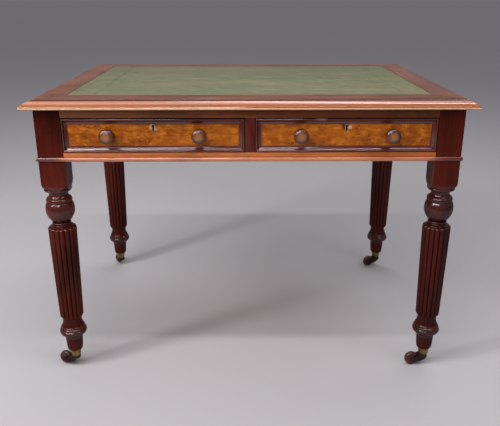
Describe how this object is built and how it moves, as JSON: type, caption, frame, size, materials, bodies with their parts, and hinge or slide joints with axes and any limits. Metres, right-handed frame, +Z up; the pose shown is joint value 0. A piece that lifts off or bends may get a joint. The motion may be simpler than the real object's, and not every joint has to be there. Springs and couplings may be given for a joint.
{
  "type": "writing table",
  "caption": "Leather-topped writing table with frieze drawers, turned and reeded legs and swivel castors.",
  "frame": {"origin": "on the floor, below the middle of the table", "axes": "+X along the front to the sitter's right, +Y from the front to the back, +Z up"},
  "size_m": [1.068, 0.772, 0.737],
  "materials": {
    "top_mahogany": "french polish",
    "leg_mahogany": "french polish",
    "rail_mahogany": "french polish",
    "drawer_mahogany": "french polish",
    "moulding_mahogany": "french polish",
    "knob_mahogany": "french polish",
    "secondary_wood": "bare, aged",
    "lining_oak": "bare, aged",
    "green_leather": "waxed hide",
    "castor_brass": "dull, aged",
    "aged_brass": "dull, aged",
    "dark_iron": "rough",
    "glazed_ceramic": "glazed"
  },
  "bodies": {
    "frame": {"top_core": "secondary_wood", "top_border_front": "top_mahogany", "top_border_back": "top_mahogany", "top_border_left": "top_mahogany", "top_border_right": "top_mahogany", "writing_leather": "green_leather", "leg_front_left": "leg_mahogany", "leg_front_right": "leg_mahogany", "leg_back_left": "leg_mahogany", "leg_back_right": "leg_mahogany", "side_rail_left": "rail_mahogany", "side_rail_right": "rail_mahogany", "back_rail": "rail_mahogany", "front_top_rail": "rail_mahogany", "front_bottom_rail": "rail_mahogany", "drawer_divider": "rail_mahogany", "frieze_beading": "leg_mahogany", "drawer_runners": "secondary_wood", "drawer_guides": "secondary_wood", "drawer_kickers": "secondary_wood", "drawer_stops": "secondary_wood", "top_screws": "dark_iron", "castor_cup_front_left": "castor_brass", "castor_cup_front_right": "castor_brass", "castor_cup_back_left": "castor_brass", "castor_cup_back_right": "castor_brass"},
    "castor_swivel_front_left": {"castor_fork_front_left": "dark_iron", "castor_axle_front_left": "dark_iron"},
    "castor_wheel_front_left": {"castor_wheel_front_left": "glazed_ceramic"},
    "castor_swivel_front_right": {"castor_fork_front_right": "dark_iron", "castor_axle_front_right": "dark_iron"},
    "castor_wheel_front_right": {"castor_wheel_front_right": "glazed_ceramic"},
    "castor_swivel_back_left": {"castor_fork_back_left": "dark_iron", "castor_axle_back_left": "dark_iron"},
    "castor_wheel_back_left": {"castor_wheel_back_left": "glazed_ceramic"},
    "castor_swivel_back_right": {"castor_fork_back_right": "dark_iron", "castor_axle_back_right": "dark_iron"},
    "castor_wheel_back_right": {"castor_wheel_back_right": "glazed_ceramic"},
    "drawer_left": {"drawer_left_front": "drawer_mahogany", "drawer_left_moulding": "moulding_mahogany", "drawer_left_side_outer": "lining_oak", "drawer_left_side_inner": "lining_oak", "drawer_left_back": "lining_oak", "drawer_left_bottom": "lining_oak", "drawer_left_knobs": "knob_mahogany", "drawer_left_escutcheon": "aged_brass", "drawer_left_lock": "aged_brass"},
    "drawer_left_lock_bolt": {"drawer_left_lock_bolt": "aged_brass"},
    "drawer_right": {"drawer_right_front": "drawer_mahogany", "drawer_right_moulding": "moulding_mahogany", "drawer_right_side_outer": "lining_oak", "drawer_right_side_inner": "lining_oak", "drawer_right_back": "lining_oak", "drawer_right_bottom": "lining_oak", "drawer_right_knobs": "knob_mahogany", "drawer_right_escutcheon": "aged_brass", "drawer_right_lock": "aged_brass"},
    "drawer_right_lock_bolt": {"drawer_right_lock_bolt": "aged_brass"}
  },
  "joints": [
    {"name": "castor_swivel_front_left", "type": "hinge", "parent": "frame", "child": "castor_swivel_front_left", "pos_m": [-0.4775, -0.3295, 0.033], "axis": [0, 0, 1], "continuous": true},
    {"name": "castor_roll_front_left", "type": "hinge", "parent": "castor_swivel_front_left", "child": "castor_wheel_front_left", "pos_m": [-0.50808, -0.31879, 0.0188], "axis": [-0.3305, -0.9438, 0], "continuous": true},
    {"name": "castor_swivel_front_right", "type": "hinge", "parent": "frame", "child": "castor_swivel_front_right", "pos_m": [0.4775, -0.3295, 0.033], "axis": [0, 0, 1], "continuous": true},
    {"name": "castor_roll_front_right", "type": "hinge", "parent": "castor_swivel_front_right", "child": "castor_wheel_front_right", "pos_m": [0.44527, -0.33277, 0.0188], "axis": [0.1011, -0.9949, 0], "continuous": true},
    {"name": "castor_swivel_back_left", "type": "hinge", "parent": "frame", "child": "castor_swivel_back_left", "pos_m": [-0.4775, 0.3295, 0.033], "axis": [0, 0, 1], "continuous": true},
    {"name": "castor_roll_back_left", "type": "hinge", "parent": "castor_swivel_back_left", "child": "castor_wheel_back_left", "pos_m": [-0.4918, 0.35857, 0.0188], "axis": [-0.8973, -0.4415, 0], "continuous": true},
    {"name": "castor_swivel_back_right", "type": "hinge", "parent": "frame", "child": "castor_swivel_back_right", "pos_m": [0.4775, 0.3295, 0.033], "axis": [0, 0, 1], "continuous": true},
    {"name": "castor_roll_back_right", "type": "hinge", "parent": "castor_swivel_back_right", "child": "castor_wheel_back_right", "pos_m": [0.44721, 0.318, 0.0188], "axis": [0.3551, -0.9348, 0], "continuous": true},
    {"name": "drawer_left_slide", "type": "slide", "parent": "frame", "child": "drawer_left", "axis": [0, -1, 0], "range_m": [0, 0.42]},
    {"name": "drawer_left_lock_throw", "type": "slide", "parent": "drawer_left", "child": "drawer_left_lock_bolt", "axis": [0, 0, 1], "range_m": [0, 0.006]},
    {"name": "drawer_right_slide", "type": "slide", "parent": "frame", "child": "drawer_right", "axis": [0, -1, 0], "range_m": [0, 0.42]},
    {"name": "drawer_right_lock_throw", "type": "slide", "parent": "drawer_right", "child": "drawer_right_lock_bolt", "axis": [0, 0, 1], "range_m": [0, 0.006]}
  ]
}
